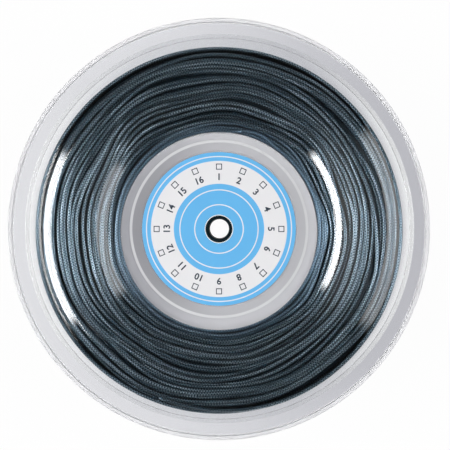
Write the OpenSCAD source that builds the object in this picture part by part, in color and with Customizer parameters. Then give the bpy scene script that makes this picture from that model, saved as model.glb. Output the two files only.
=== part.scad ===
// A reel of racket string: two clear flanges with a raised band on a clear hub barrel, a dark
// spindle tube through the hub, a round label, and about 200 m of string wound on the barrel.
// The reel lies flat. Its axis is +Z, its front flange is on top, and its origin is the middle of
// its base. All sizes are in millimetres.

/* [Flanges] */
// Outer diameter of both flanges
flange_d = 125; // [116:1:140]
// Width of the reel over its two rim beads
reel_w = 54; // [44:1:64]
// Wall of the flanges
web_t = 1.8; // [1.4:0.1:2.4]
// Width of the flat ring between the barrel and the raised band
hub_flat_w = 4.2; // [3:0.1:6]
// Width of the bevel on each side of the raised band
band_bevel_w = 3.6; // [2.5:0.1:4.5]
// Width of the flat top of the raised band
band_top_w = 13.2; // [8:0.2:15]
// Rise of the band, which stiffens the web
band_rise = 0.9; // [0.4:0.1:1.2]
// Radial width of the rim bead
rim_w = 1.2; // [0.8:0.1:2]
// Corner radius of the rim bead
rim_fillet = 0.3; // [0.1:0.05:0.35]
// Height of the rim bead above the top of the raised band
rim_stand = 0.3; // [0.1:0.1:1]

/* [Hub] */
// Outer diameter of the barrel that the string is wound on
barrel_d = 57.6; // [52:0.2:64]
// Wall of the barrel
barrel_wall = 2; // [1.2:0.1:2.4]
// Wall of the locating ring that each flange has inside the barrel
spigot_wall = 1.2; // [0.8:0.1:2]
// Length of the locating ring
spigot_l = 2.5; // [1.5:0.1:5]
// Length of the boss round the spindle tube, behind each flange
boss_l = 6; // [3:0.5:12]
// Wall of the boss
boss_wall = 2; // [1.2:0.1:3]
// Gap all round the locating ring in the barrel
spigot_gap = 0.1; // [0.05:0.05:0.2]

/* [Spindle tube] */
// Outer diameter of the spindle tube
tube_d = 7.9; // [7.4:0.1:10]
// Bore that the reel turns on
spindle_bore_d = 6.1; // [5:0.1:6.5]
// Chamfer at both mouths of the bore
mouth_chamfer = 0.3; // [0.1:0.05:0.4]
// Gap all round the tube in its bosses
tube_gap = 0.05; // [0.02:0.01:0.1]

/* [Label] */
// Diameter of the label
label_d = 45.6; // [36:0.2:47]
// Thickness of the label
label_t = 0.2; // [0.1:0.05:0.3]
// Depth of the recess for a label in each flange
recess_depth = 0.4; // [0.3:0.05:0.8]
// Gap all round the label in its recess
recess_gap = 0.4; // [0.2:0.05:0.8]
// Gap between the label's hole and the spindle tube
label_hole_gap = 0.3; // [0.1:0.05:1]

/* [String] */
// Diameter of the string
string_d = 1.25; // [1.1:0.05:1.4]
// Outer diameter of the wound string
wound_d = 108.6; // [80:0.2:111]
// How far the wound string hangs off the axis, because it is loose on the barrel
winding_slack = 0.45; // [0.1:0.05:0.6]
// Gap between the wound string and the flanges
side_gap = 0.2; // [0.15:0.05:0.5]
// Gap all round the string's start in its groove
start_gap = 0.1; // [0.05:0.05:0.2]
// Length of the string's start, which leaves the groove along a straight chord
start_l = 7; // [4:0.5:8]
// Width of barrel that is left between the groove and the front flange
start_drop = 0.3; // [0.2:0.1:3]
// Angle of the string's start round the reel, from +X
start_angle = 92; // [60:1:120]

/* [Hidden] */
$fn = 180;
OVER = 1;                     // how far a cutting shape runs past what it cuts

CLEAR = [0.93, 0.95, 0.96, 0.35];
DARK_PLASTIC = [0.09, 0.13, 0.16];
LABEL_BLUE = [0.35, 0.70, 0.94];
STRING_GREY = [0.24, 0.29, 0.34];

// Flange
flange_r = flange_d / 2;
rim_in_r = flange_r - rim_w;
rim_proud = band_rise + rim_stand;           // height of the rim bead above the flat of the web
rim_h = web_t + rim_proud;                   // whole height of the rim bead
inner_lo = rim_h;                            // height of the rear flange's inner face
inner_hi = reel_w - rim_h;                   // height of the front flange's inner face

// The raised band has a conical bevel on both sides of its flat top
barrel_r = barrel_d / 2;
band_in_r = barrel_r + hub_flat_w;
band_out_r = band_in_r + band_top_w + 2 * band_bevel_w;
function band_h(r) =
    band_rise * max(0, min(1, (r - band_in_r) / band_bevel_w, (band_out_r - r) / band_bevel_w));

// The line of a web whose flat is at height z, from the axis out to the middle of the rim bead
function web_line(z) = [
    [0, z],
    [band_in_r, z],
    [band_in_r + band_bevel_w, z + band_rise],
    [band_out_r - band_bevel_w, z + band_rise],
    [band_out_r, z],
    [rim_in_r + rim_w / 2, z]
];
function reversed(points) = [for (i = [len(points) - 1 : -1 : 0]) points[i]];

// Hub
barrel_in_r = barrel_r - barrel_wall;
spigot_r = barrel_in_r - spigot_gap;
tube_r = tube_d / 2;
bore_r = spindle_bore_d / 2;
tube_hole_r = tube_r + tube_gap;
boss_r = tube_hole_r + boss_wall;
label_r = label_d / 2;
recess_r = label_r + recess_gap;
label_seat_z = reel_w - rim_proud - recess_depth;
tube_end_z = label_seat_z + label_t;         // the tube's front end is flush with the label
tube_start_z = reel_w - tube_end_z;

// String
COIL_GAP = 0.05;              // gap where the wound string hangs on the barrel
string_r = string_d / 2;
wound_r = wound_d / 2;
wound_in_r = barrel_r + winding_slack + COIL_GAP;
start_z = inner_hi - start_drop - start_gap - string_r;

// The outer layer: one tube wound as a helix over the core, its ends turned square to the flanges
MAX_LOOPS = 24;
LOOP_STEPS = 24;              // rings in one loop
SIDES = 6;
BEND_STEPS = 4;               // rings in the bend at each end
LEAST_GAP = 0.45;             // gap that is kept between neighbouring loops
END_GAP = 0.05;               // gap between an end and the flange it meets
CORE_GAP = 0.1;               // gap between the core and the flat stretches of the loops
layer_r = wound_r - string_r;
bend_r = string_d;
end_room = bend_r + string_d + END_GAP - min(band_h(wound_r), band_h(wound_r - string_d));
layer_lo = inner_lo + end_room;
layer_hi = inner_hi - end_room;
loops = min(MAX_LOOPS, floor((layer_hi - layer_lo) / (string_d + LEAST_GAP)));
pitch = (layer_hi - layer_lo) / loops;
core_r = (layer_r - string_r) * cos(180 / LOOP_STEPS) - CORE_GAP;

// The layers' end turns: every second layer stands proud against the flanges
first_layer_r = wound_in_r + string_r;
layers = round((layer_r - first_layer_r) / string_d) + 1;
layer_pitch = (layer_r - first_layer_r) / (layers - 1);
end_turn_z = inner_hi - side_gap - string_r;  // height of an end turn's middle, on the flat of the web

Z_AXIS = [0, 0, 1];
function radial(a) = [cos(a), sin(a), 0];
function tangent(a) = [-sin(a), cos(a), 0];

// One ring of the tube: where it is, which way is outward, and which way the string runs
function helix_ring(i) =
    let (a = 360 * i / LOOP_STEPS)
    [layer_r * radial(a) + (layer_lo + pitch * i / LOOP_STEPS) * Z_AXIS, radial(a), tangent(a)];
function bend_ring(from, side, turn, run = 0) =
    let (t = from[2], along = cos(turn) * t + sin(turn) * Z_AXIS)
    [from[0] + side * bend_r * (sin(turn) * t + (1 - cos(turn)) * Z_AXIS) + side * run * Z_AXIS,
     from[1], along];

layer_first = helix_ring(0);
layer_last = helix_ring(loops * LOOP_STEPS);
layer_rings = concat(
    [bend_ring(layer_first, -1, 90, string_d)],
    [for (k = [BEND_STEPS : -1 : 1]) bend_ring(layer_first, -1, 90 * k / BEND_STEPS)],
    [for (i = [0 : loops * LOOP_STEPS]) helix_ring(i)],
    [for (k = [1 : BEND_STEPS]) bend_ring(layer_last, 1, 90 * k / BEND_STEPS)],
    [bend_ring(layer_last, 1, 90, string_d)]
);

function ring_points(ring) =
    let (across = cross(ring[2], ring[1]))
    [for (s = [0 : SIDES - 1])
        ring[0] + string_r * (cos(360 * s / SIDES) * ring[1] + sin(360 * s / SIDES) * across)];
layer_points = [for (ring = layer_rings) each ring_points(ring)];

// The least gap between the tube's points on one loop and those on the next
function loop_gap(i) =
    let (here = ring_points(helix_ring(i)), next = ring_points(helix_ring(i + LOOP_STEPS)))
    min([for (p = here, q = next) norm(p - q)]);
least_gap = min([for (i = [0 : (loops - 1) * LOOP_STEPS]) loop_gap(i)]);
echo(least_gap_of_outer_layer_to_itself_mm = least_gap, loops = loops, pitch_mm = pitch);

// Length of string that the wound space holds, from its section and how closely the turns pack
PACKING = 0.76;
band_share = (pow(band_out_r - band_bevel_w / 2, 2) - pow(band_in_r + band_bevel_w / 2, 2))
    / (pow(wound_r, 2) - pow(wound_in_r, 2));
wound_w = inner_hi - inner_lo + 2 * band_rise * band_share;
wound_volume = PI * (pow(wound_r, 2) - pow(wound_in_r, 2)) * wound_w;
echo(string_length_m = PACKING * wound_volume / (PI * pow(string_r, 2)) / 1000);

// Section of a wall with rounded corners, from radius r0 to r1 and from height 0 to h
module rounded_band(r0, r1, h, fillet) {
    translate([r0 + fillet, 0]) square([r1 - r0 - 2 * fillet, h]);
    translate([r0, fillet]) square([r1 - r0, h - 2 * fillet]);
    for (r = [r0 + fillet, r1 - fillet], z = [fillet, h - fillet])
        translate([r, z]) circle(fillet);
}

// Section of a flange, with its inner face at height 0 and its outer face above
module flange_section() {
    difference() {
        union() {
            polygon(concat(web_line(0), reversed(web_line(web_t))));
            translate([rim_in_r, 0]) rounded_band(0, rim_w, rim_h, rim_fillet);
            translate([spigot_r - spigot_wall, -spigot_l]) square([spigot_wall, spigot_l + web_t / 2]);
            translate([0, -boss_l]) square([boss_r, boss_l + web_t / 2]);
        }
        translate([0, web_t - recess_depth]) square([recess_r, recess_depth + OVER]);
        translate([0, -boss_l - OVER]) square([tube_hole_r, boss_l + web_t + 2 * OVER]);
    }
}

module flange() {
    rotate_extrude() flange_section();
}

module front_flange() {
    color(CLEAR) translate([0, 0, inner_hi]) flange();
}

module rear_flange() {
    color(CLEAR) translate([0, 0, inner_lo]) mirror([0, 0, 1]) flange();
}

// A rod that lies half sunk in the barrel at the string's start and leaves it clockwise, along a chord
module start_rod(r, from, to) {
    rotate([0, 0, start_angle]) translate([barrel_r, -from, start_z]) rotate([90, 0, 0])
        cylinder(r = r, h = to - from);
}

module hub_barrel() {
    color(CLEAR) difference() {
        translate([0, 0, inner_lo]) cylinder(r = barrel_r, h = inner_hi - inner_lo);
        translate([0, 0, inner_lo - OVER]) cylinder(r = barrel_in_r, h = inner_hi - inner_lo + 2 * OVER);
        start_rod(string_r + start_gap, -start_gap, start_l);
    }
}

module spindle_tube() {
    color(DARK_PLASTIC) difference() {
        translate([0, 0, tube_start_z]) cylinder(r = tube_r, h = tube_end_z - tube_start_z);
        translate([0, 0, tube_start_z - OVER]) cylinder(r = bore_r, h = tube_end_z - tube_start_z + 2 * OVER);
        translate([0, 0, tube_start_z]) cylinder(r1 = bore_r + mouth_chamfer, r2 = bore_r, h = mouth_chamfer);
        translate([0, 0, tube_end_z - mouth_chamfer])
            cylinder(r1 = bore_r, r2 = bore_r + mouth_chamfer, h = mouth_chamfer);
    }
}

module front_label() {
    color(LABEL_BLUE) translate([0, 0, label_seat_z]) difference() {
        cylinder(r = label_r, h = label_t);
        translate([0, 0, -OVER]) cylinder(r = tube_r + label_hole_gap, h = label_t + 2 * OVER);
    }
}

module string_start() {
    color(STRING_GREY) start_rod(string_r, 0, start_l);
}

// Section of the wound string, with the end turns that stand proud against the front flange
module wound_section() {
    polygon(concat([[0, 0]], web_line(end_turn_z), [[rim_in_r + rim_w / 2, 0]]));
    for (layer = [1 : 2 : layers - 2])
        let (r = first_layer_r + layer * layer_pitch)
        translate([r, end_turn_z + band_h(r)]) circle(string_r);
}

// The layers under the outer one fill the space between the barrel and the two webs
module winding_core() {
    color(STRING_GREY) difference() {
        translate([0, -winding_slack, 0]) rotate_extrude() intersection() {
            translate([wound_in_r, 0]) square([core_r - wound_in_r, reel_w]);
            wound_section();
            translate([0, reel_w]) mirror([0, 1]) wound_section();
        }
        start_rod(string_r + start_gap, -start_gap, start_l);
    }
}

module winding_outer_layer() {
    rings = len(layer_rings);
    color(STRING_GREY) translate([0, -winding_slack, 0]) polyhedron(
        points = layer_points,
        faces = concat(
            [for (s = [1 : SIDES - 2]) [0, s + 1, s]],
            [for (i = [0 : rings - 2], s = [0 : SIDES - 1], half = [0, 1])
                let (a = i * SIDES, b = a + SIDES, n = (s + 1) % SIDES)
                half == 0 ? [a + s, a + n, b + n] : [a + s, b + n, b + s]],
            [for (s = [1 : SIDES - 2]) let (c = (rings - 1) * SIDES) [c, c + s, c + s + 1]]
        )
    );
}

front_flange();
rear_flange();
hub_barrel();
spindle_tube();
front_label();
string_start();
winding_core();
winding_outer_layer();
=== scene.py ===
"""Looks of a reel of racket string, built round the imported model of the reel.

The reel lies flat with its axis on +Z and its labelled flange on top. Everything is in metres.
"""

import logging
import math
from dataclasses import dataclass
from enum import Enum
from typing import Any, Optional, Sequence, Union

import bpy
import numpy as np
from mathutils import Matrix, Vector


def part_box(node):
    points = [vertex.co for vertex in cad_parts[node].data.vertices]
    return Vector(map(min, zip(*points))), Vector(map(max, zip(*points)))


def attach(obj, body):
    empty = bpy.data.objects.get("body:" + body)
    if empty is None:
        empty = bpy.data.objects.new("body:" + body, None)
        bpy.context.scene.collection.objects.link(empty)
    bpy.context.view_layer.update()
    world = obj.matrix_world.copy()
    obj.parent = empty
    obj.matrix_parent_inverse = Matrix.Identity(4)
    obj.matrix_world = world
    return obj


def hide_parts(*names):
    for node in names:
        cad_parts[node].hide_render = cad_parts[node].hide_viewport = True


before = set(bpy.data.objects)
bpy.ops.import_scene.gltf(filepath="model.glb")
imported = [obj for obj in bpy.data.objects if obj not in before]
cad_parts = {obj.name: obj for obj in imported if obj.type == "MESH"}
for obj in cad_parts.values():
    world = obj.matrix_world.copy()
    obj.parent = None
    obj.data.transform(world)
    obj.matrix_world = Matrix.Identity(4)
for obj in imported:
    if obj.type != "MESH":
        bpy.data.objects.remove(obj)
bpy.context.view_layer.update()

LOG = logging.getLogger("string_reel")
MM = 0.001
BODY = "root"
TURN = 2 * math.pi
LATHE_STEPS = 256
ARC_STEPS = 4
LONG_ARC = 0.8 * MM  # a fillet of a larger radius gets twice the steps
WELD = 0.0005 * MM  # points that lie closer than this are merged
AIR = 0.02 * MM  # gap that is kept between clear faces that meet
PRINT_LIFT = 0.01 * MM  # gap under the label's film, and how far its ink stands above it

Point = tuple[float, float]
Corner = tuple[float, float, float]  # radius, height, and how far it is rounded
Span = tuple[float, float]  # where something begins, and where it is full
Colour = tuple[float, float, float]
Input = Union["Value", float, Colour]
Piece = bpy.types.Object
Material = bpy.types.Material
Owner = Union[Material, bpy.types.World]


# ---- shader maths


@dataclass(frozen=True)
class Value:
    """An output socket of a node tree that takes part in Python expressions."""

    nodes: "Nodes"
    socket: bpy.types.NodeSocket

    def math(self, operation: str, *others: Input) -> "Value":
        """Runs one Math node on this value and others."""
        inputs = dict(enumerate((self, *others)))
        return self.nodes.make("ShaderNodeMath", inputs, operation=operation)

    def __add__(self, other: Input) -> "Value":
        """Adds a value or a number."""
        return self.math("ADD", other)

    def __sub__(self, other: Input) -> "Value":
        """Takes away a value or a number."""
        return self.math("SUBTRACT", other)

    def __mul__(self, other: Input) -> "Value":
        """Multiplies by a value or a number."""
        return self.math("MULTIPLY", other)

    def __rsub__(self, other: float) -> "Value":
        """Takes this value away from a number."""
        return self.nodes.make("ShaderNodeMath", {0: other, 1: self}, operation="SUBTRACT")

    __radd__ = __add__
    __rmul__ = __mul__

    def ramp(self, start: float, end: float) -> "Value":
        """Rises smoothly from 0 at start to 1 at end."""
        limits = {"Value": self, "From Min": start, "From Max": end}
        return self.nodes.make("ShaderNodeMapRange", limits, interpolation_type="SMOOTHSTEP")

    def within(self, low: float, high: float, edge: float) -> "Value":
        """Marks the stretch from low to high, with a soft edge just inside each end."""
        return self.ramp(low, low + edge) * (1 - self.ramp(high - edge, high))


class Nodes:
    """Makes the nodes of one material or world."""

    def __init__(self, owner: Owner) -> None:
        """Empties the owner's node tree and adds its output node.

        Args:
            owner: A material or a world.
        """
        owner.use_nodes = True
        self.owner = owner
        self.tree = owner.node_tree
        self.tree.nodes.clear()
        kind = "World" if isinstance(owner, bpy.types.World) else "Material"
        self.output = self.tree.nodes.new("ShaderNodeOutput" + kind)

    def make(
        self,
        kind: str,
        inputs: Optional[dict[Union[str, int], Any]] = None,
        output: Union[str, int] = 0,
        **settings: Any,
    ) -> Value:
        """Adds one node.

        Args:
            kind: The node's type.
            inputs: The values or links of its sockets, by name or place.
            output: The socket that is given back.
            settings: Its settings, such as a Math node's operation, which are set first.

        Returns:
            The chosen output of the node.
        """
        node = self.tree.nodes.new(kind)
        for name, setting in settings.items():
            setattr(node, name, setting)
        for name, given in (inputs or {}).items():
            self.join(node.inputs[name], given)
        return Value(self, node.outputs[output])

    def join(self, socket: bpy.types.NodeSocket, given: Any) -> None:
        """Links a value to a socket, or sets the socket to a number, colour or vector.

        Args:
            socket: The input socket.
            given: A value, a number, or a row of three numbers.
        """
        if isinstance(given, Value):
            self.tree.links.new(given.socket, socket)
        elif socket.type == "RGBA":
            socket.default_value = (*given, 1.0)
        else:
            socket.default_value = given

    def mix(self, factor: Input, first: Input, second: Input) -> Value:
        """Blends two colours by a factor."""
        inputs = {0: factor, 6: first, 7: second}
        return self.make("ShaderNodeMix", inputs, output=2, data_type="RGBA")

    def blend(self, factor: Value, first: Value, second: Value) -> Value:
        """Blends two shaders by a factor."""
        return self.make("ShaderNodeMixShader", {0: factor, 1: first, 2: second})

    def surface(self, shader: Value) -> Owner:
        """Ends the tree in a shader and gives back its material or world."""
        self.tree.links.new(shader.socket, self.output.inputs["Surface"])
        return self.owner

    def ray(self, name: str) -> Value:
        """Gives Light Path's mark of one kind of ray."""
        return self.make("ShaderNodeLightPath", output=name)

    def place(self) -> Value:
        """Gives the point on the piece, in metres."""
        return self.make("ShaderNodeTexCoord", output="Object")

    def parts(self, vector: Value) -> list[Value]:
        """Splits a vector into its X, Y and Z."""
        node = self.make("ShaderNodeSeparateXYZ", {"Vector": vector}).socket.node
        return [Value(self, socket) for socket in node.outputs]

    def flat_length(self, vector: Value) -> Value:
        """Gives the length of a vector without its Z."""
        flat = self.make("ShaderNodeVectorMath", {0: vector, 1: (1, 1, 0)}, operation="MULTIPLY")
        return self.make("ShaderNodeVectorMath", {0: flat}, "Value", operation="LENGTH")

    def from_axis(self, shift: float = 0.0) -> Value:
        """Gives the distance from the reel's axis, or from a line beside it at Y = shift."""
        inputs = {0: self.place(), 1: (0, -shift, 0)}
        return self.flat_length(self.make("ShaderNodeVectorMath", inputs, operation="ADD"))

    def noise(self, vector: Value, scale: float, detail: float = 3.0) -> Value:
        """Gives smooth noise from 0 to 1 on a vector."""
        inputs = {"Vector": vector, "Scale": scale, "Detail": detail}
        return self.make("ShaderNodeTexNoise", inputs)

    def bump(self, height: Value, distance: float) -> Value:
        """Turns a height from 0 to 1 into a normal."""
        return self.make("ShaderNodeBump", {"Height": height, "Distance": distance})


# ---- finishes


@dataclass(frozen=True)
class ClearPlastic:
    """Clear moulded polystyrene with faint flow marks, handling wear, a scuffed rim, and a satin
    hub land that carries painted shade and a painted highlight.
    """

    name: str = "clear_polystyrene"
    colour: Colour = (0.985, 0.99, 0.995)
    ior: float = 1.57
    roughness: float = 0.02
    wear_roughness: float = 0.05  # where handling has rubbed it
    wear_scale: float = 900.0
    wear_span: Span = (0.55, 0.8)
    flow_scale: float = 55.0
    flow_height: float = 0.004 * MM
    haze: float = 0.0  # share of the body that scatters light
    haze_colour: Colour = (0.745, 0.745, 0.765)
    dull_roughness: float = 0.3
    dull_wear: float = 0.2
    scuff: float = 0.98  # share of the rim bead that handling has dulled
    scuff_span: Span = (60.95 * MM, 61.35 * MM)
    land_haze: float = 0.5  # share of the hub's satin land that scatters light
    land_colour: Colour = (0.60, 0.60, 0.63)
    land_shade: Colour = (0.36, 0.36, 0.39)
    land_across: Span = (-28 * MM, 4 * MM)  # painted shade: the satin land is painted darker towards -X
    land_in: float = 22.7 * MM
    land_out: float = 29.3 * MM
    land_shift: float = -0.8 * MM  # its outer edge isn't quite true to the axis
    ring_colour: Colour = (0.86, 0.86, 0.88)
    ring_in: float = 25.6 * MM  # painted highlight: the locating ring's edge is painted pale in the land
    ring_out: float = 26.6 * MM
    soft_edge: float = 0.25 * MM

    def material(self) -> Material:
        """Builds the material.

        Returns:
            Glass to the eye that lets the lamps' light through.
        """
        nodes = Nodes(bpy.data.materials.new(self.name))
        place, radius = nodes.place(), nodes.from_axis()
        wear = nodes.noise(place, self.wear_scale, 4.0).ramp(*self.wear_span)
        flow = nodes.noise(place, self.flow_scale, 1.0)
        glass = nodes.make("ShaderNodeBsdfPrincipled", {
            "Base Color": self.colour,
            "Roughness": wear * (self.wear_roughness - self.roughness) + self.roughness,
            "IOR": self.ior,
            "Transmission Weight": 1.0,
            "Normal": nodes.bump(flow, self.flow_height),
        })
        rim = radius.ramp(*self.scuff_span) * self.scuff
        cloudy, colour = rim.math("MAXIMUM", self.haze), self.haze_colour
        if self.land_haze:
            land, colour = self._land(nodes, radius)
            cloudy = rim.math("MAXIMUM", land * self.land_haze)
        dulled = nodes.make("ShaderNodeBsdfPrincipled", {
            "Base Color": colour,
            "Roughness": wear * self.dull_wear + self.dull_roughness,
            "Specular IOR Level": 0.0,
        })
        body = nodes.blend(cloudy, glass, dulled)
        open_air = nodes.make("ShaderNodeBsdfTransparent", {"Color": self.colour})
        passing = nodes.ray("Is Shadow Ray").math("MAXIMUM", nodes.ray("Is Diffuse Ray"))
        return nodes.surface(nodes.blend(passing, body, open_air))

    def _land(self, nodes: Nodes, radius: Value) -> tuple[Value, Value]:
        """Marks the hub's satin land and colours it, with painted shade towards -X and a painted
        highlight on the locating ring.

        Args:
            nodes: The material's nodes.
            radius: The distance from the axis.

        Returns:
            The land's share, from 0 to 1, and its colour, which is the rim's colour elsewhere.
        """
        outwards = nodes.from_axis(self.land_shift)
        land = radius.ramp(self.land_in, self.land_in + self.soft_edge)
        land = land * (1 - outwards.ramp(self.land_out - self.soft_edge, self.land_out))
        across = nodes.parts(nodes.place())[0]
        # painted shade: the satin land is painted darker towards -X
        satin_and_painted_light = nodes.mix(across.ramp(*self.land_across), self.land_shade, self.land_colour)
        # painted highlight: the locating ring's edge is painted pale
        ring = radius.within(self.ring_in, self.ring_out, self.soft_edge)
        satin_and_painted_light = nodes.mix(ring, satin_and_painted_light, self.ring_colour)
        return land, nodes.mix(land, self.haze_colour, satin_and_painted_light)


@dataclass(frozen=True)
class DarkPlastic:
    """Satin moulded plastic of the spindle tube."""

    name: str = "dark_tube_plastic"
    colour: Colour = (0.002, 0.009, 0.013)
    worn: Colour = (0.006, 0.015, 0.020)
    worn_scale: float = 420.0
    worn_span: Span = (0.45, 0.75)
    worn_roughness: float = 0.14  # added where it is worn
    roughness: float = 0.42
    shine: float = 0.1
    grain_scale: float = 2600.0
    grain_height: float = 0.006 * MM

    def material(self) -> Material:
        """Builds the material.

        Returns:
            Satin plastic with worn patches and a fine grain.
        """
        nodes = Nodes(bpy.data.materials.new(self.name))
        grain = nodes.noise(nodes.place(), self.grain_scale)
        patches = nodes.noise(nodes.place(), self.worn_scale).ramp(*self.worn_span)
        return nodes.surface(nodes.make("ShaderNodeBsdfPrincipled", {
            "Base Color": nodes.mix(patches, self.colour, self.worn),
            "Roughness": patches * self.worn_roughness + self.roughness,
            "Specular IOR Level": self.shine,
            "Normal": nodes.bump(grain, self.grain_height),
        }))


@dataclass(frozen=True)
class StringFinish:
    """Slate-grey monofilament with a metallic sheen and a rough, dented surface, painted pale on
    its raised facets and dark in its dents.
    """

    name: str = "slate_monofilament"
    dark: Colour = (0.003, 0.022, 0.037)
    light: Colour = (0.330, 0.424, 0.498)
    inner: Colour = (0.125, 0.205, 0.285)  # painted light: paler and bluer towards this near the barrel, standing in for the lamps' light and the blue label's reflection there
    metallic: float = 0.93
    roughness: float = 0.24
    speckle_roughness: float = 0.16  # added where the speckle is strongest
    speckle_grain: Point = (7.0, 2.2)  # round the string, and in a string diameter of length
    glaze: float = 0.9  # coat on the raised facets
    glaze_roughness: float = 0.14
    dent_pitch: float = 1.5  # dents in one string diameter of length
    dent_rows: float = 3.0  # rows of dents round the string
    dent_slant: float = 0.06  # how far the rows slant
    dent_share: float = 0.6  # the rest of the height is speckle
    dent_height: float = 0.05 * MM
    raised_span: Span = (0.33, 0.66)  # heights at which a dent turns into a raised facet
    strand_change: float = 0.7  # how far one strand differs from its neighbours
    strand_scale: float = 900.0
    strand_stretch: float = 0.03
    strand_span: Span = (0.35, 0.68)

    def material(self) -> Material:
        """Builds the material, whose dents follow the string.

        Returns:
            A material that reads the UV map of a string piece and its attribute of painted light
            near the barrel.
        """
        nodes = Nodes(bpy.data.materials.new(self.name))
        around, along, _ = nodes.parts(nodes.make("ShaderNodeUVMap", uv_map="along"))
        # rows of short dents, each row half a dent on from the one beside it
        rows = (around * self.dent_rows + along * self.dent_slant) * TURN
        steps = along * self.dent_pitch * TURN
        dents = steps.math("SINE") * rows.math("COSINE") * 0.5 + 0.5
        grain = {"X": around * self.speckle_grain[0], "Y": along * self.speckle_grain[1]}
        speckle = nodes.noise(nodes.make("ShaderNodeCombineXYZ", grain), 1.0)
        height = dents * self.dent_share + speckle * (1 - self.dent_share)
        raised_and_painted_glint = height.ramp(*self.raised_span)
        # some strands are paler than their neighbours, for a stretch
        strand = {"X": along * self.strand_stretch, "Y": nodes.from_axis() * self.strand_scale}
        pale = nodes.noise(nodes.make("ShaderNodeCombineXYZ", strand), 1.0, 1.0)
        pale = pale.ramp(*self.strand_span) * self.strand_change + (1 - self.strand_change)
        # painted highlight and painted shade: the raised facets are painted paler and the dents
        # darker, besides their bump and coat
        slate = nodes.mix(raised_and_painted_glint * pale, self.dark, self.light)
        # painted light and painted reflection: near the barrel the string is painted paler and
        # bluer
        painted_inner_light = nodes.make("ShaderNodeAttribute", output="Fac", attribute_name="painted_inner_light")
        return nodes.surface(nodes.make("ShaderNodeBsdfPrincipled", {
            "Base Color": nodes.mix(painted_inner_light * (raised_and_painted_glint * 0.5 + 0.5), slate, self.inner),
            "Roughness": speckle * self.speckle_roughness + self.roughness,
            "Metallic": self.metallic,
            "Coat Weight": raised_and_painted_glint * self.glaze,
            "Coat Roughness": self.glaze_roughness,
            "Normal": nodes.bump(height, self.dent_height),
        }))


@dataclass(frozen=True)
class LabelFilm:
    """Printed film label: a sky-blue field with a pale ring for a usage counter."""

    name: str = "label_film"
    blue: Colour = (0.118, 0.452, 0.815)
    pale: Colour = (0.785, 0.78, 0.80)
    ring_in: float = 13.4 * MM
    ring_out: float = 20.2 * MM
    edge: float = 0.04 * MM
    line_radii: tuple[float, ...] = (7.2 * MM, 11.6 * MM, 21.5 * MM)
    line_half: float = 0.14 * MM
    roughness: float = 0.32
    fibre_scale: float = 1500.0
    fibre_roughness: float = 0.12
    fibre_height: float = 0.003 * MM

    def material(self) -> Material:
        """Builds the material.

        Returns:
            Film that is printed by the distance to the label's centre.
        """
        nodes = Nodes(bpy.data.materials.new(self.name))
        radius = nodes.from_axis()
        pale = radius.within(self.ring_in - self.edge, self.ring_out + self.edge, 2 * self.edge)
        for line in self.line_radii:
            off = (radius - line).math("ABSOLUTE")
            pale = pale.math("MAXIMUM", 1 - off.ramp(self.line_half, self.line_half + self.edge))
        fibre = nodes.noise(nodes.place(), self.fibre_scale)
        return nodes.surface(nodes.make("ShaderNodeBsdfPrincipled", {
            "Base Color": nodes.mix(pale, self.blue, self.pale),
            "Roughness": fibre * self.fibre_roughness + self.roughness,
            "Normal": nodes.bump(fibre, self.fibre_height),
        }))


@dataclass(frozen=True)
class Ink:
    """Printing ink of the counter's numbers and boxes."""

    name: str = "counter_ink"
    thin: Colour = (0.009, 0.024, 0.045)
    full: Colour = (0.012, 0.032, 0.060)
    roughness: float = 0.45
    lay_roughness: float = 0.1
    lay_scale: float = 2200.0

    def material(self) -> Material:
        """Builds the material.

        Returns:
            Ink that lies a little unevenly.
        """
        nodes = Nodes(bpy.data.materials.new(self.name))
        lay = nodes.noise(nodes.place(), self.lay_scale, 2.0)
        return nodes.surface(nodes.make("ShaderNodeBsdfPrincipled", {
            "Base Color": nodes.mix(lay, self.thin, self.full),
            "Roughness": lay * self.lay_roughness + self.roughness,
        }))


# ---- modelling aids


def rounded(corners: Sequence[Corner]) -> list[Point]:
    """Rounds the corners of a closed outline with arcs.

    A support point just outside each end of an arc keeps the flat beside it flat in its shading.

    Args:
        corners: The outline's corners in order.

    Returns:
        The outline's points as radius and height.
    """
    points: list[Point] = []
    for index, (r, z, rounding) in enumerate(corners):
        if rounding <= 0:
            points.append((r, z))
            continue
        here = Vector((r, z))
        back = (Vector(corners[index - 1][:2]) - here).normalized()
        ahead = (Vector(corners[(index + 1) % len(corners)][:2]) - here).normalized()
        half = back.angle(ahead) / 2
        centre = here + (back + ahead).normalized() * rounding / math.sin(half)
        first = here + back * rounding / math.tan(half) - centre
        last = here + ahead * rounding / math.tan(half) - centre
        sweep = first.angle(last)
        steps = 2 * ARC_STEPS if rounding > LONG_ARC else ARC_STEPS
        support = rounding * sweep / steps / 4
        spokes = [first + back * support]
        for step in range(steps + 1):
            share = step / steps
            spoke = first * math.sin((1 - share) * sweep) + last * math.sin(share * sweep)
            spokes.append(spoke / math.sin(sweep))
        spokes.append(last + ahead * support)
        points += [(centre.x + spoke.x, centre.y + spoke.y) for spoke in spokes]
    return points


def ring_section(inner: float, outer: float, low: float, high: float, edge: float) -> list[Point]:
    """Outlines a plain ring whose four edges are rounded alike.

    Args:
        inner: Its inner radius.
        outer: Its outer radius.
        low: Its lowest height.
        high: Its greatest height.
        edge: The rounding of its edges.

    Returns:
        The outline's points as radius and height.
    """
    spots = ((inner, low), (outer, low), (outer, high), (inner, high))
    return rounded([(*spot, edge) for spot in spots])


def deselect() -> None:
    """Leaves edit mode and deselects every object."""
    if bpy.context.object and bpy.context.object.mode != "OBJECT":
        bpy.ops.object.mode_set(mode="OBJECT")
    bpy.ops.object.select_all(action="DESELECT")


def edit_all() -> None:
    """Enters edit mode and selects the whole mesh."""
    bpy.ops.object.mode_set(mode="EDIT")
    bpy.ops.mesh.select_all(action="SELECT")


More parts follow.
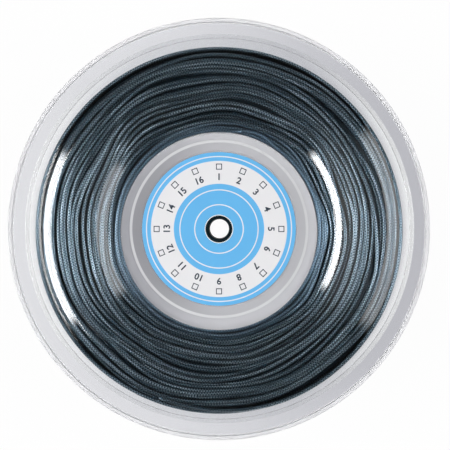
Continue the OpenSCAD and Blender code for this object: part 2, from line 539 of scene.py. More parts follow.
def lathe(name: str, outline: Sequence[Point], smooth_angle: float = 30.0) -> Piece:
    """Draws a closed outline by extruding a vertex and spins it round the reel's axis.

    Args:
        name: The piece's name.
        outline: Radius and height of each point.
        smooth_angle: Edges flatter than this many degrees are shaded smooth.

    Returns:
        The piece, with its object at the origin.
    """
    deselect()
    bpy.ops.mesh.primitive_plane_add(size=MM)
    piece = bpy.context.object
    piece.name = name
    piece.data.name = name
    edit_all()
    bpy.ops.mesh.merge(type="CENTER")
    bpy.ops.transform.translate(value=(outline[0][0], 0, outline[0][1]))
    for here, there in zip(outline, outline[1:]):
        step = (there[0] - here[0], 0, there[1] - here[1])
        bpy.ops.mesh.extrude_region_move(TRANSFORM_OT_translate={"value": step})
    bpy.ops.object.mode_set(mode="OBJECT")
    for vertex in piece.data.vertices:
        vertex.select = vertex.index in (0, len(piece.data.vertices) - 1)
    bpy.ops.object.mode_set(mode="EDIT")
    bpy.ops.mesh.edge_face_add()
    bpy.ops.mesh.select_all(action="SELECT")
    bpy.ops.mesh.spin(steps=LATHE_STEPS, angle=TURN, center=(0, 0, 0), axis=(0, 0, 1))
    bpy.ops.mesh.select_all(action="SELECT")
    bpy.ops.mesh.remove_doubles(threshold=WELD)
    bpy.ops.mesh.normals_make_consistent(inside=False)
    bpy.ops.object.mode_set(mode="OBJECT")
    bpy.ops.object.shade_smooth_by_angle(angle=math.radians(smooth_angle))
    return piece


def dress(
    piece: Piece,
    material: Material,
    replaces: Sequence[str] = (),
) -> Piece:
    """Gives a piece its material and its place in the frame.

    Args:
        piece: The finished piece.
        material: Its finish.
        replaces: The CAD nodes that it stands for.

    Returns:
        The piece.
    """
    piece.data.materials.clear()
    piece.data.materials.append(material)
    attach(piece, BODY)
    if replaces:
        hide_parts(*replaces)
    LOG.info("%s: %d faces", piece.name, len(piece.data.polygons))
    return piece


# ---- reel sizes


@dataclass(frozen=True)
class ReelPlan:
    """Sizes that several sub-assemblies share, measured on the frame where it shows them."""

    flange_r: float
    reel_w: float
    barrel_r: float
    tube_r: float
    label_r: float
    wound_r: float
    boss_l: float = 6.0 * MM
    web_t: float = 1.8 * MM
    hub_flat_w: float = 4.2 * MM
    bevel_w: float = 3.6 * MM
    band_top_w: float = 13.2 * MM
    band_rise: float = 0.9 * MM
    rim_w: float = 1.2 * MM
    rim_stand: float = 0.3 * MM
    barrel_wall: float = 2.0 * MM
    recess_depth: float = 0.4 * MM
    bore_r: float = 3.05 * MM
    string_d: float = 1.25 * MM
    slack: float = 0.45 * MM  # how far the winding hangs off the reel's axis

    @classmethod
    def from_frame(cls) -> "ReelPlan":
        """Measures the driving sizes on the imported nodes."""
        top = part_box("front_flange")[1]
        return cls(
            flange_r=top.x,
            reel_w=top.z,
            barrel_r=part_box("hub_barrel")[1].x,
            tube_r=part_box("spindle_tube")[1].x,
            label_r=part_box("front_label")[1].x,
            wound_r=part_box("winding_outer_layer")[1].x,
        )

    @property
    def rim_h(self) -> float:
        """Height of the whole rim bead, which is that of the rear flange's inner face."""
        return self.web_t + self.band_rise + self.rim_stand

    @property
    def inner_hi(self) -> float:
        """Height of the front flange's inner face."""
        return self.reel_w - self.rim_h

    @property
    def band_in_r(self) -> float:
        """Radius at the foot of the inner bevel."""
        return self.barrel_r + self.hub_flat_w

    @property
    def top_in_r(self) -> float:
        """Inner radius of the raised band's flat top."""
        return self.band_in_r + self.bevel_w

    @property
    def top_out_r(self) -> float:
        """Outer radius of the raised band's flat top."""
        return self.top_in_r + self.band_top_w

    @property
    def band_out_r(self) -> float:
        """Radius at the foot of the outer bevel."""
        return self.top_out_r + self.bevel_w

    def band_height(self, r: np.ndarray) -> np.ndarray:
        """Gives the raised band's rise.

        Args:
            r: The radius of each point.

        Returns:
            The rise at each point.
        """
        inner = (r - self.band_in_r) / self.bevel_w
        outer = (self.band_out_r - r) / self.bevel_w
        return self.band_rise * np.clip(np.minimum(inner, outer), 0, 1)


class Side(Enum):
    """The two ends of the reel."""

    FRONT = 1
    REAR = -1

    @property
    def word(self) -> str:
        """The side's word in the names of pieces and nodes."""
        return self.name.lower()


# ---- the shell


@dataclass
class Flange:
    """One clear moulded flange, with its locating ring and its boss."""

    plan: ReelPlan
    side: Side
    spigot_gap: float = 0.1 * MM  # the spigot is the locating ring
    spigot_wall: float = 1.2 * MM
    spigot_l: float = 2.5 * MM
    boss_wall: float = 2.0 * MM
    tube_gap: float = 0.05 * MM
    recess_gap: float = 0.4 * MM
    edge: float = 0.12 * MM
    corner: float = 0.15 * MM
    rim_fillet: float = 0.3 * MM
    band_fillet: float = 1.0 * MM
    inner_foot: float = 18.0 * MM  # fillet at the foot of the inner bevel
    outer_foot: float = 1.0 * MM  # fillet at the foot of the outer bevel
    knee_out: float = 2.1 * MM  # the outer bevel eases off here, past its top
    knee_drop: float = 0.602 * MM
    knee_fillet: float = 4.0 * MM
    smooth_angle: float = 25.0

    def corners(self) -> list[Corner]:
        """Gives the section, with its inner face at height 0 and its outer face above.

        Returns:
            The corners in order, from the boss's end round by the rim to the label's recess.
        """
        plan = self.plan
        spigot_r = plan.barrel_r - plan.barrel_wall - self.spigot_gap
        hole_r = plan.tube_r + self.tube_gap
        boss_r = hole_r + self.boss_wall
        recess_r = plan.label_r + self.recess_gap
        rim_in = plan.flange_r - plan.rim_w
        seat = plan.web_t - plan.recess_depth
        band = [
            (plan.band_in_r, 0, self.inner_foot),
            (plan.top_in_r, plan.band_rise, self.band_fillet),
            (plan.top_out_r, plan.band_rise, self.band_fillet),
            (plan.top_out_r + self.knee_out, plan.band_rise - self.knee_drop, self.knee_fillet),
            (plan.band_out_r, 0, self.outer_foot),
        ]
        return [
            (hole_r, -plan.boss_l, self.edge),
            (boss_r, -plan.boss_l, self.edge),
            (boss_r, 0, self.corner),
            (spigot_r - self.spigot_wall, 0, self.corner),
            (spigot_r - self.spigot_wall, -self.spigot_l, self.edge),
            (spigot_r, -self.spigot_l, self.edge),
            (spigot_r, 0, self.corner / 2),
            *band,
            (plan.flange_r, 0, self.rim_fillet),
            (plan.flange_r, plan.rim_h, self.rim_fillet),
            (rim_in, plan.rim_h, self.rim_fillet),
            (rim_in, plan.web_t, self.corner),
            *((r, plan.web_t + z, fillet) for r, z, fillet in reversed(band)),
            (recess_r, plan.web_t, self.edge),
            (recess_r, seat, self.edge / 2),
            (hole_r, seat, self.edge / 2),
        ]

    def build(self, material: Material) -> Piece:
        """Models and dresses the flange.

        Args:
            material: Its finish.

        Returns:
            The piece.
        """
        node = f"{self.side.word}_flange"
        base = self.plan.inner_hi if self.side is Side.FRONT else self.plan.rim_h
        outline = [(r, base + self.side.value * z) for r, z in rounded(self.corners())]
        piece = lathe(f"{node}_shell", outline, self.smooth_angle)
        return dress(piece, material, [node])


@dataclass
class Hub:
    """The clear barrel and the dark spindle tube inside it."""

    plan: ReelPlan
    barrel_edge: float = 0.15 * MM
    mouth_chamfer: float = 0.3 * MM
    tube_edge: float = 0.12 * MM

    def barrel(self, material: Material) -> Piece:
        """Models and dresses the barrel, a hair shorter than the space between the flanges.

        Args:
            material: Its finish.

        Returns:
            The piece.
        """
        plan = self.plan
        outline = ring_section(plan.barrel_r - plan.barrel_wall, plan.barrel_r,
                               plan.rim_h + AIR, plan.inner_hi - AIR, self.barrel_edge)
        return dress(lathe("hub_barrel_wall", outline), material, ["hub_barrel"])

    def tube(self, material: Material) -> Piece:
        """Models and dresses the spindle tube, chamfered at both mouths of its bore.

        Args:
            material: Its finish.

        Returns:
            The piece.
        """
        plan = self.plan
        low, high = (corner.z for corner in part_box("spindle_tube"))
        mouth = plan.bore_r + self.mouth_chamfer
        outline = rounded([
            (plan.bore_r, low + self.mouth_chamfer, 0),
            (mouth, low, 0),
            (plan.tube_r, low, self.tube_edge),
            (plan.tube_r, high, self.tube_edge),
            (mouth, high, 0),
            (plan.bore_r, high - self.mouth_chamfer, 0),
        ])
        piece = lathe("spindle_tube_wall", outline)
        return dress(piece, material, ["spindle_tube"])


@dataclass
class Label:
    """The round label with a printed counter of the sets cut from the reel."""

    plan: ReelPlan
    hole_gap: float = 0.3 * MM
    edge: float = 0.05 * MM
    marks: int = 16
    number_r: float = 15.4 * MM
    number_size: float = 2.7 * MM
    number_weight: float = 0.07 * MM  # how far each stroke's edges are moved out
    number_steps: int = 3  # stretches in each curve of a number
    box_r: float = 18.5 * MM
    box_size: float = 1.8 * MM
    box_line: float = 0.26 * MM
    ink_t: float = 0.01 * MM

    def film(self, material: Material) -> Piece:
        """Models and dresses the label itself.

        Args:
            material: Its finish.

        Returns:
            The piece.
        """
        low, high = (corner.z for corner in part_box("front_label"))
        outline = ring_section(self.plan.tube_r + self.hole_gap, self.plan.label_r,
                               low + PRINT_LIFT, high, self.edge)
        return dress(lathe("label_film", outline), material, ["front_label"])

    def _mark(self, index: int, top: float) -> list[Piece]:
        """Makes one number and its tick box.

        Args:
            index: The number, from 1.
            top: Height of the label's face.

        Returns:
            The two flat pieces.
        """
        turn = -TURN * (index - 1) / self.marks
        place = [Vector((-r * math.sin(turn), r * math.cos(turn), top))
                 for r in (self.number_r, self.box_r)]
        deselect()
        bpy.ops.object.text_add(location=place[0], rotation=(0, 0, turn))
        number = bpy.context.object
        number.data.body = str(index)
        number.data.size = self.number_size
        number.data.align_x = "CENTER"
        number.data.align_y = "CENTER"
        number.data.offset = self.number_weight
        number.data.resolution_u = self.number_steps
        bpy.ops.object.convert(target="MESH")
        deselect()
        bpy.ops.mesh.primitive_plane_add(
            size=self.box_size, location=place[1], rotation=(0, 0, turn))
        box = bpy.context.object
        edit_all()
        bpy.ops.mesh.inset(thickness=self.box_line)
        bpy.ops.mesh.delete(type="FACE")
        bpy.ops.object.mode_set(mode="OBJECT")
        return [number, box]

    def counter(self, material: Material) -> Piece:
        """Models and dresses the counter's numbers and tick boxes as one layer of ink.

        Args:
            material: Its finish.

        Returns:
            The piece.
        """
        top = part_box("front_label")[1].z + PRINT_LIFT
        flat = [piece for index in range(1, self.marks + 1) for piece in self._mark(index, top)]
        deselect()
        for piece in flat:
            piece.select_set(True)
        bpy.context.view_layer.objects.active = flat[0]
        bpy.ops.object.join()
        piece = bpy.context.object
        piece.name = "label_counter"
        bpy.ops.object.transform_apply(location=True, rotation=True, scale=True)
        edit_all()
        bpy.ops.mesh.remove_doubles(threshold=WELD)
        bpy.ops.object.mode_set(mode="OBJECT")
        wall = piece.modifiers.new("ink", "SOLIDIFY")
        wall.thickness = self.ink_t
        bpy.ops.object.modifier_apply(modifier=wall.name)
        return dress(piece, material)


# ---- the string


def smooth_step(share: np.ndarray) -> np.ndarray:
    """Rises smoothly from 0 to 1 as its argument does."""
    held = np.clip(share, 0, 1)
    return held * held * (3 - 2 * held)


def tube_piece(
    name: str, paths: Sequence[np.ndarray], radius: float, painted_inner_lights: Sequence[float], sides: int = 8
) -> Piece:
    """Sweeps round tubes along paths that wind round the reel's axis.

    Args:
        name: The piece's name.
        paths: The points of each tube, in metres.
        radius: Radius of the tubes.
        painted_inner_lights: The share of painted light and painted reflection of each tube.
        sides: Sides of a tube.

    Returns:
        One piece with a UV map in string diameters along and turns around.
    """
    points, faces, caps, uvs, painted_inner_light = [], [], [], [], []
    base = 0
    spokes = (np.arange(sides) * TURN / sides)[None, :, None]
    for path, amount in zip(paths, painted_inner_lights):
        count = len(path)
        ahead = np.gradient(path, axis=0)
        ahead /= np.linalg.norm(ahead, axis=1)[:, None]
        outward = path * (1, 1, 0)
        outward -= ahead * np.sum(outward * ahead, axis=1)[:, None]
        outward /= np.linalg.norm(outward, axis=1)[:, None]
        across = np.cross(ahead, outward)
        ring = np.cos(spokes) * outward[:, None] + np.sin(spokes) * across[:, None]
        points.append((path[:, None] + radius * ring).reshape(-1, 3))
        step, side = np.meshgrid(np.arange(count - 1), np.arange(sides), indexing="ij")
        here, beside = base + step * sides + side, base + step * sides + (side + 1) % sides
        faces.append(np.stack([here, beside, beside + sides, here + sides], axis=-1).reshape(-1, 4))
        length = np.concatenate([[0], np.cumsum(np.linalg.norm(np.diff(path, axis=0), axis=1))])
        length /= 2 * radius
        u0, u1, v0, v1 = side / sides, (side + 1) / sides, length[step], length[step + 1]
        uvs.append(np.stack([u0, v0, u1, v0, u1, v1, u0, v1], axis=-1).reshape(-1, 2))
        painted_inner_light.append(np.full(count * sides, amount, np.float32))
        last = base + (count - 1) * sides
        caps += [list(range(base + sides - 1, base - 1, -1)), list(range(last, last + sides))]
        base += count * sides
    mesh = bpy.data.meshes.new(name)
    quads = np.concatenate(faces).tolist()
    mesh.from_pydata(np.concatenate(points).tolist(), [], quads + caps)
    layer = mesh.uv_layers.new(name="along")
    uvs.append(np.zeros((len(caps) * sides, 2)))
    layer.data.foreach_set("uv", np.concatenate(uvs).astype(np.float32).ravel())
    attribute = mesh.attributes.new("painted_inner_light", "FLOAT", "POINT")
    attribute.data.foreach_set("value", np.concatenate(painted_inner_light))
    mesh.polygons.foreach_set("use_smooth", np.arange(len(mesh.polygons)) < len(quads))
    mesh.update()
    piece = bpy.data.objects.new(name, mesh)
    bpy.context.scene.collection.objects.link(piece)
    return piece


@dataclass(frozen=True)
class Hollow:
    """A place where the layers above bridge over the layers below and leave a gap."""

    angle: float  # degrees round the reel
    layer: float  # the gap lies at this layer
    size: float  # how wide it opens, in metres
    spread: float  # degrees from its middle to its end
    outwards: float = 0.65  # share of its size by which the layers above move out

    def shift(self, layer: np.ndarray, angle: np.ndarray, layers: int) -> np.ndarray:
        """Gives how far the string moves outwards at a layer and an angle.

        Args:
            layer: The layer at each point.
            angle: The angle at each point.
            layers: How many layers the winding has.

        Returns:
            The shift, which fades to nothing at the barrel and at the outer layer.
        """
        off = np.abs(np.mod(angle - math.radians(self.angle) + math.pi, TURN) - math.pi)
        near = smooth_step(1 - off / math.radians(self.spread))
        above = smooth_step(layer - self.layer + 0.5)
        out = self.outwards * above * (layers - 1 - layer) / (layers - 1 - self.layer)
        back = (1 - self.outwards) * (1 - above) * layer / self.layer
        return self.size * near * (out - back)


@dataclass
class Winding:
    """The wound string: its layers' end turns behind each flange, and its outer layer.

    Layers run from 0 on the barrel to the outer one. The string turns clockwise, seen from the
    front, and goes back and forth between the flanges, so layers meet in pairs at each flange.
    """

    plan: ReelPlan
    layers: int = 23  # they nest a little, closer than a string's diameter
    loops: int = 37
    steps: int = 200  # rings in one turn
    turns: float = 2.4  # turns of each layer that are modelled behind a flange
    climb: float = 0.16  # share of a turn in which the string climbs a layer
    peak: Point = (0.02, 0.14)  # rounds off the height at which it meets the flange
    wander: float = 0.45 * MM  # how far a layer strays from its circle, as a mean
    free_layers: float = 2.0  # layers beside the barrel and the outer one wander less
    stray: float = 0.28 * MM  # how far each end turn strays on its own
    stray_rates: Point = (5, 9)
    waves: int = 9
    wave_sizes: Point = (0.4, 1.0)
    wave_drift: float = 1.1  # how far a wave turns from layer to layer, at most
    hollows: tuple[Hollow, ...] = (
        Hollow(-6, 15.5, 2.2 * MM, 50), Hollow(36, 17.5, 1.6 * MM, 32),
        Hollow(184, 10.5, 1.7 * MM, 36), Hollow(150, 12.5, 1.5 * MM, 26),
        Hollow(74, 7.5, 1.3 * MM, 30), Hollow(108, 14.5, 1.2 * MM, 30),
        Hollow(228, 6.5, 1.2 * MM, 26), Hollow(262, 9.5, 1.5 * MM, 30),
        Hollow(302, 14.5, 1.6 * MM, 30), Hollow(226, 16.5, 1.4 * MM, 28),
        Hollow(12, 7.5, 1.0 * MM, 24), Hollow(132, 4.5, 1.0 * MM, 24),
    )
    proud: float = 0.4 * MM  # how far the loose outer layer swells
    end_angle: float = math.radians(250.0)  # where the outer layer begins and ends
    tuck_turns: float = 0.12  # share of a turn in which its ends dip under their neighbours
    # waves of the outer layer: radians in a loop, phase, and size in string diameters
    sway: tuple[tuple[float, float, float], ...] = ((2.3, 0.0, 0.06), (0.61, 1.0, 0.1))
    flange_gap: float = 0.1 * MM
    barrel_gap: float = 0.05 * MM
    start_angle: float = math.radians(92.0)
    start_l: float = 7.0 * MM
    start_rise: float = math.radians(45.0)  # the string reaches the flange in this
    start_bend: float = math.radians(24.0)  # and leaves the chord for the circle in this
    start_lap: float = 0.05 * MM  # the winding's first end lies inside the chord's last
    start_rings: int = 12
    fill_depth: float = 2.4 * MM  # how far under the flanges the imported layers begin
    tint_layers: float = 2.5  # layers over which the painted light near the barrel fades
    seed: int = 20

    def __post_init__(self) -> None:
        """Draws the waves that the layers follow."""
        self.rng = np.random.default_rng(self.seed)
        self.wave_size = self.rng.uniform(*self.wave_sizes, self.waves)
        self.wave_size /= np.sqrt(np.arange(1, self.waves + 1))
        self.wave_turn = self.rng.uniform(0, TURN, self.waves)
        self.wave_shift = self.rng.uniform(-self.wave_drift, self.wave_drift, self.waves)

    @property
    def string_r(self) -> float:
        """Radius of the string."""
        return self.plan.string_d / 2

    @property
    def inside_r(self) -> float:
        """Radius of the winding's inside."""
        return self.plan.barrel_r + self.plan.slack + self.barrel_gap

    @property
    def first_r(self) -> float:
        """Radius of the innermost layer's middle."""
        return self.inside_r + self.string_r

    @property
    def last_r(self) -> float:
        """Radius of the outer layer's middle."""
        return self.plan.wound_r + self.proud - self.string_r

    def layer_r(
        self, layer: np.ndarray, angle: np.ndarray, open_share: Union[float, np.ndarray] = 1.0
    ) -> np.ndarray:
        """Gives the radius at which a layer lies, with its wander.

        Args:
            layer: The layer, which may lie between two while the string climbs.
            angle: The angle round the reel.
            open_share: How far the hollows are open, which is less deeper in the winding.

        Returns:
            The radius at each angle.
        """
        pitch = (self.last_r - self.first_r) / (self.layers - 1)
        number = np.arange(1, self.waves + 1)
        phase = number * angle[..., None] + self.wave_turn + self.wave_shift * layer[..., None]
        drift = np.sum(self.wave_size * np.cos(phase), axis=-1)
        drift /= np.sqrt(np.sum(self.wave_size ** 2) / 2)
        # the barrel and the outer layer hold their neighbours in place
        free = np.clip(np.minimum(layer, self.layers - 1 - layer) / self.free_layers, 0, 1)
        r = self.first_r + pitch * layer + self.wander * free * drift
        opened = sum(hollow.shift(layer, angle, self.layers) for hollow in self.hollows)
        return r + open_share * opened

    def top_z(self, r: np.ndarray) -> np.ndarray:
        """Gives the height of a string's middle right under the front flange."""
        return self.plan.inner_hi + self.plan.band_height(r) - self.flange_gap - self.string_r

    def sink(self, layer: np.ndarray, angle: np.ndarray) -> np.ndarray:
        """Gives how far the even layers sink where their neighbours leave too little room.

        Args:
            layer: The layer at each point.
            angle: The angle at each point.

        Returns:
            The depth at each point.
        """
        here = self.layer_r(layer, angle)
        room = np.minimum(
            here - self.layer_r(np.maximum(layer - 1, 0), angle),
            self.layer_r(np.minimum(layer + 1, self.layers - 1), angle) - here,
        )
        lack = np.clip(self.plan.string_d ** 2 - room ** 2, 0, None)
        return np.sqrt(lack) * np.cos(math.pi / 2 * np.mod(layer, 2.0)) ** 2

    def placed(self, r: np.ndarray, angle: np.ndarray, z: np.ndarray, side: Side) -> np.ndarray:
        """Turns radius, angle and height into points of the loose winding.

        Args:
            r: The radius of each point.
            angle: The angle of each point.
            z: The height of each point, as if behind the front flange.
            side: The flange that they lie behind.

        Returns:
            The points.
        """
        if side is Side.REAR:
            z = self.plan.reel_w - z
        return np.stack([r * np.cos(angle), r * np.sin(angle) - self.plan.slack, z], axis=-1)

    def pair(self, layer: int, side: Side) -> np.ndarray:
        """Winds the string up one layer to a flange and back down the next.

        Args:
            layer: The layer that comes to the flange.
            side: Which flange it comes to.

        Returns:
            The string's points.
        """
        run = np.linspace(-self.turns, self.turns, int(2 * self.turns * self.steps))
        angle = self.rng.uniform(0, TURN) - run * TURN
        at = layer + smooth_step(run / self.climb + 0.5)
        rate, phase = self.rng.uniform(*self.stray_rates), self.rng.uniform(0, TURN)
        r = self.layer_r(at, angle, 1 / (1 + run ** 2)) + self.stray * np.sin(run * rate + phase)
        depth = self.plan.string_d * (np.sqrt(run ** 2 + self.peak[0]) - self.peak[1])
        return self.placed(r, angle, self.top_z(r) - depth - self.sink(at, angle), side)

    def start_ends(self) -> tuple[Vector, Vector]:
        """Places the string's start where its CAD node lies.

        Returns:
            Its two ends: on the barrel, and where the winding goes on from it.
        """
        low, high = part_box("string_start")
        sunk = Vector((math.cos(self.start_angle), math.sin(self.start_angle), 0))
        clockwise = Vector((sunk.y, -sunk.x, 0))
        first = sunk * self.plan.barrel_r + Vector((0, 0, (low.z + high.z) / 2))
        return first, first + clockwise * self.start_l

    def inner_start(self) -> np.ndarray:
        """Winds the innermost layer on from the string's start, up to the front flange.

        Returns:
            The string's points.
        """
        count = int(self.turns * self.steps)
        run = np.linspace(0, self.turns, count)
        sunk, leaving = (np.array(end) for end in self.start_ends())
        angle = math.atan2(leaving[1], leaving[0]) - run * TURN
        r = self.layer_r(np.zeros(count), angle)
        path = self.placed(r, angle, self.top_z(r) - self.plan.string_d * run, Side.FRONT)
        # it runs on in the chord's line, bends into the circle and rises to the flange
        ahead = (leaving - sunk) / self.start_l
        straight = leaving + ahead * (r * run * TURN - self.start_lap)[:, None]
        bend, rise = (smooth_step(run * TURN / turn) for turn in (self.start_bend, self.start_rise))
        share = np.stack([bend, bend, rise], axis=-1)
        return straight * (1 - share) + path * share

    def outer_layer(self) -> np.ndarray:
        """Winds the outer layer, whose two ends are tucked under their neighbours.

        Returns:
            The string's points.
        """
        high = float(self.top_z(np.array(self.last_r)))
        low = self.plan.reel_w - high
        run = np.linspace(0, self.loops, self.loops * self.steps)
        share = run / self.loops
        loose = sum(size * np.sin(rate * run + phase) for rate, phase, size in self.sway)
        z = low + (high - low) * share + loose * self.plan.string_d * np.sin(math.pi * share)
        tuck = smooth_step(1 - run / self.tuck_turns)
        tuck = tuck + smooth_step(1 - (self.loops - run) / self.tuck_turns)
        r = self.last_r - tuck * self.plan.string_d
        return self.placed(r, self.end_angle - run * TURN, z, Side.FRONT)

    def end_turns(self, side: Side, material: Material) -> Piece:
        """Models and dresses the end turns behind one flange.

        Args:
            side: Which flange they lie behind.
            material: Their finish.

        Returns:
            The piece.
        """
        front = side is Side.FRONT
        firsts = range(1 if front else 0, self.layers - 2, 2)
        paths = [self.pair(layer, side) for layer in firsts]
        # painted light: the layers nearest the barrel are painted paler and bluer
        painted_inner_lights = [max(0.0, 1.0 - layer / self.tint_layers) for layer in firsts]
        if front:
            paths.append(self.inner_start())
            painted_inner_lights.append(1.0)
        piece = tube_piece(f"{side.word}_end_turns", paths, self.string_r, painted_inner_lights)
        return dress(piece, material)

    def outside(self, material: Material) -> Piece:
        """Models and dresses the outer layer."""
        piece = tube_piece("outer_turns", [self.outer_layer()], self.string_r, [0.0])
        return dress(piece, material, ["winding_outer_layer"])

    def start(self, material: Material) -> Piece:
        """Models and dresses the string's first millimetres, half sunk in the barrel's wall."""
        path = np.linspace(*self.start_ends(), self.start_rings)
        # painted light: the start lies by the barrel and is painted paler and bluer
        piece = tube_piece("string_start_chord", [path], self.string_r, [1.0])
        return dress(piece, material, ["string_start"])

    def fill(self, material: Material) -> Piece:
        """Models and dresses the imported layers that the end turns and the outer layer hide.

        Args:
            material: Its finish.

        Returns:
            The piece.
        """
        plan = self.plan
        high = plan.inner_hi - self.fill_depth
        top = [
            (self.last_r - plan.string_d, high),
            (plan.top_out_r, high + plan.band_rise),
            (plan.top_in_r, high + plan.band_rise),
            (plan.band_in_r, high),
            (self.inside_r, high),
        ]
        foot = [(r, plan.reel_w - z) for r, z in reversed(top)]
        piece = lathe("packed_layers", foot + top)
        edit_all()
        bpy.ops.transform.translate(value=(0, -plan.slack, 0))
        bpy.ops.object.mode_set(mode="OBJECT")
        return dress(piece, material, ["winding_core"])


# ---- the studio


@dataclass(frozen=True)
class SoftBox:
    """An area lamp that points at the reel."""

    name: str
    place: tuple[float, float, float]
    size: tuple[float, float]  # its width and height
    power: float

    def hang(self) -> None:
        """Adds the lamp."""
        data = bpy.data.lights.new(self.name, "AREA")
        data.shape = "RECTANGLE"
        data.size, data.size_y = self.size
        data.energy = self.power
        lamp = bpy.data.objects.new(self.name, data)
        lamp.location = self.place
        lamp.rotation_euler = (-Vector(self.place)).to_track_quat("-Z", "Y").to_euler()
        lamp.visible_camera = False
        bpy.context.scene.collection.objects.link(lamp)


@dataclass(frozen=True)
class ArcLamp:
    """A glowing strip that is bent round the reel's axis and fades at both ends."""

    name: str
    middle: float  # azimuth of its middle, in degrees
    spread: float  # azimuth from its middle to its end, in degrees
    tilts: Span  # tilt of both edges from the vertical, in degrees
    strength: float
    distance: float = 1.3  # how far it hangs from the reel
    columns: int = 48
    rows: int = 4
    end_share: float = 1 / 6  # share of its half in which it fades

    def hang(self) -> None:
        """Adds the strip."""
        across = np.linspace(-1, 1, self.columns + 1)
        azimuth, tilt = np.meshgrid(np.radians(self.middle + self.spread * across),
                                    np.radians(np.linspace(*self.tilts, self.rows + 1)),
                                    indexing="ij")
        points = self.distance * np.stack([np.sin(tilt) * np.cos(azimuth),
                                           np.sin(tilt) * np.sin(azimuth), np.cos(tilt)], axis=-1)
        line = self.rows + 1
        first = np.add.outer(np.arange(self.columns) * line, np.arange(self.rows)).ravel()
        faces = np.stack([first, first + 1, first + line + 1, first + line], axis=-1)
        mesh = bpy.data.meshes.new(self.name)
        mesh.from_pydata(points.reshape(-1, 3).tolist(), [], faces.tolist())
        fade = mesh.attributes.new("fade", "FLOAT", "POINT")
        shares = smooth_step((1 - np.abs(across)) / self.end_share)
        fade.data.foreach_set("value", np.repeat(shares, line).astype(np.float32))
        strip = bpy.data.objects.new(self.name, mesh)
        bpy.context.scene.collection.objects.link(strip)
        nodes = Nodes(bpy.data.materials.new(self.name))
        glow = nodes.make("ShaderNodeAttribute", output="Fac", attribute_name="fade")
        inputs = {"Color": (1, 1, 1), "Strength": glow * self.strength}
        mesh.materials.append(nodes.surface(nodes.make("ShaderNodeEmission", inputs)))
        strip.visible_camera = False
        strip.visible_shadow = False


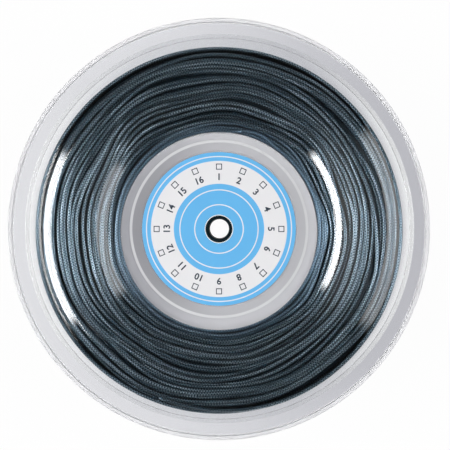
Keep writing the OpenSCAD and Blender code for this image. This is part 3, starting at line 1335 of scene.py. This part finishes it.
@dataclass
class Studio:
    """Camera, lamps, floor and world."""

    camera_place: tuple[float, float, float] = (1.78 * MM, 1.18 * MM, 0.644)
    lens: float = 159.5
    sensor: float = 36.0
    lamps: tuple[Union[SoftBox, ArcLamp], ...] = (
        SoftBox("left_box", (-0.9, 0.0, 0.75), (0.6, 0.35), 4.4),
        SoftBox("right_box", (0.95, 0.0, 0.7), (0.5, 0.35), 5.8),
        ArcLamp("inner_strip", 185.0, 36.0, (16.5, 22.5), 11.0, distance=0.55),
        ArcLamp("outer_strip", 183.5, 31.0, (33.0, 41.5), 10.0),
        ArcLamp("right_strip", 0.0, 36.0, (10.0, 40.0), 1.9),
    )
    floor_size: float = 6.0
    floor_drop: float = 0.05 * MM
    floor_colour: Colour = (0.82, 0.82, 0.83)
    floor_left: Colour = (0.90, 0.90, 0.93)  # as seen through the reel, with a painted shadow of the reel towards +X
    floor_right: Colour = (0.58, 0.58, 0.625)
    floor_across: Span = (-0.08, 0.08)
    floor_glow: Colour = (1.2, 1.2, 1.2)
    ring_rise: Span = (57.5 * MM, 61.5 * MM)
    ring_fall: Span = (62.4 * MM, 63.0 * MM)
    ring_sides: Span = (0.02, 0.062)
    under_hub: Span = (24 * MM, 28 * MM)
    floor_seen: float = 0.97  # share of plain white in what rays of each kind find there
    floor_mirrored: float = 0.5
    floor_through: float = 0.8
    zenith: float = 0.02  # strength of the world's light
    horizon: float = 0.40
    sky_span: Span = (0.2, 1.0)
    side_share: float = 0.9  # of the horizon's light that comes from both sides
    ceiling_glow: float = 1.2
    ceiling_edge: Span = (0.05, 0.078)
    ceiling_right: Span = (0.044, 0.066)
    ceiling_left: Span = (0.045, 0.068)
    ceiling_shares: tuple[float, float, float] = (0.8, 0.3, 0.04)  # right, left, all over
    beyond_share: float = 0.8  # white that rays through glass find beyond the floor
    beyond_span: Span = (0.25, 0.7)

    def camera(self) -> None:
        """Places the camera square over the front flange."""
        data = bpy.data.cameras.new("camera")
        data.lens = self.lens
        data.sensor_width = self.sensor
        data.clip_start = 0.01
        data.clip_end = 20.0
        camera = bpy.data.objects.new("camera", data)
        camera.location = self.camera_place
        bpy.context.scene.collection.objects.link(camera)
        bpy.context.scene.camera = camera

    def floor(self) -> None:
        """Lays a pale floor that looks white and keeps a faint shadow; seen through the reel it
        carries a painted shadow and painted light.
        """
        deselect()
        bpy.ops.mesh.primitive_plane_add(size=self.floor_size, location=(0, 0, -self.floor_drop))
        plane = bpy.context.object
        plane.name = "floor"
        nodes = Nodes(bpy.data.materials.new("pale_floor"))
        matt = nodes.make("ShaderNodeBsdfDiffuse", {"Color": self.floor_colour})
        white = nodes.make("ShaderNodeEmission", {"Color": (1, 1, 1), "Strength": 1.0})
        across = nodes.parts(nodes.place())[0]
        # painted shadow: seen through the reel, the floor is painted darker towards +X, where the
        # reel's shadow falls
        shade = nodes.mix(across.ramp(*self.floor_across), self.floor_left, self.floor_right)
        # the rim gathers the side lamps' light into a bright ring on the floor under it
        radius = nodes.from_axis()
        ring = radius.ramp(*self.ring_rise) * (1 - radius.ramp(*self.ring_fall))
        ring = ring * across.math("ABSOLUTE").ramp(*self.ring_sides)
        # painted light: both the ring under the rim and the floor under the hub are painted bright
        lit = ring.math("MAXIMUM", 1 - radius.ramp(*self.under_hub))
        shade = nodes.mix(lit, shade, self.floor_glow)
        pale = nodes.make("ShaderNodeEmission", {"Color": shade, "Strength": 1.0})
        # a ray through glass is marked as glossy too
        through = nodes.ray("Is Transmission Ray")
        mirrored = (nodes.ray("Is Glossy Ray") - through) * self.floor_mirrored
        under = nodes.blend(through * self.floor_through, matt, pale)
        seen = (nodes.ray("Is Camera Ray") * self.floor_seen).math("MAXIMUM", mirrored)
        plane.data.materials.append(nodes.surface(nodes.blend(seen, under, white)))

    def world(self) -> None:
        """Sets a soft world, dim overhead and before and behind, and brighter at both sides."""
        nodes = Nodes(bpy.data.worlds.new("studio"))
        way = nodes.make("ShaderNodeTexCoord", output="Generated")
        across, _, up = nodes.parts(way)
        low = 1 - up.ramp(*self.sky_span)
        low = low * (across * across * self.side_share + (1 - self.side_share))
        light = low * (self.horizon - self.zenith) + self.zenith
        # a ceiling light, nearly overhead, that only the flat faces of the flange mirror
        right, left, over = self.ceiling_shares
        patch = across.ramp(*self.ceiling_right) * right
        patch = patch + (0 - across).ramp(*self.ceiling_left) * left + over
        near = 1 - nodes.flat_length(way).ramp(*self.ceiling_edge)
        light = light + near * patch * self.ceiling_glow
        beyond = nodes.ray("Is Transmission Ray") * (1 - up.ramp(*self.beyond_span))
        white = nodes.ray("Is Camera Ray").math("MAXIMUM", beyond * self.beyond_share)
        inputs = {"Color": (1, 1, 1), "Strength": light.math("MAXIMUM", white)}
        bpy.context.scene.world = nodes.surface(nodes.make("ShaderNodeBackground", inputs))

    def build(self) -> None:
        """Sets up the whole studio."""
        self.camera()
        self.world()
        self.floor()
        for lamp in self.lamps:
            lamp.hang()
        bpy.context.scene.view_settings.view_transform = "Standard"


def main() -> None:
    """Builds the reel and its studio; each piece's face count is logged as it is dressed."""
    logging.basicConfig(level=logging.INFO, format="%(message)s")
    plan = ReelPlan.from_frame()
    Studio().build()

    clear = ClearPlastic().material()
    rear = ClearPlastic(name="rear_polystyrene", scuff=0.12).material()
    hazy = ClearPlastic(name="hazy_polystyrene", haze=0.42, haze_colour=(0.88, 0.88, 0.91),
                        land_haze=0.0, roughness=0.32, wear_roughness=0.4).material()
    string = StringFinish().material()
    # painted shade: a darker copy of the string's finish, for the layers deep in the winding
    shaded = StringFinish(name="shaded_monofilament", dark=(0.001, 0.009, 0.015),
                          light=(0.004, 0.017, 0.026)).material()
    Flange(plan, Side.FRONT).build(clear)
    Flange(plan, Side.REAR).build(rear)
    hub = Hub(plan)
    hub.barrel(hazy)
    hub.tube(DarkPlastic().material())
    label = Label(plan)
    label.film(LabelFilm().material())
    label.counter(Ink().material())
    winding = Winding(plan)
    winding.fill(shaded)
    winding.start(string)
    for side in Side:
        winding.end_turns(side, string)
    winding.outside(string)


if __name__ == "__main__":
    main()
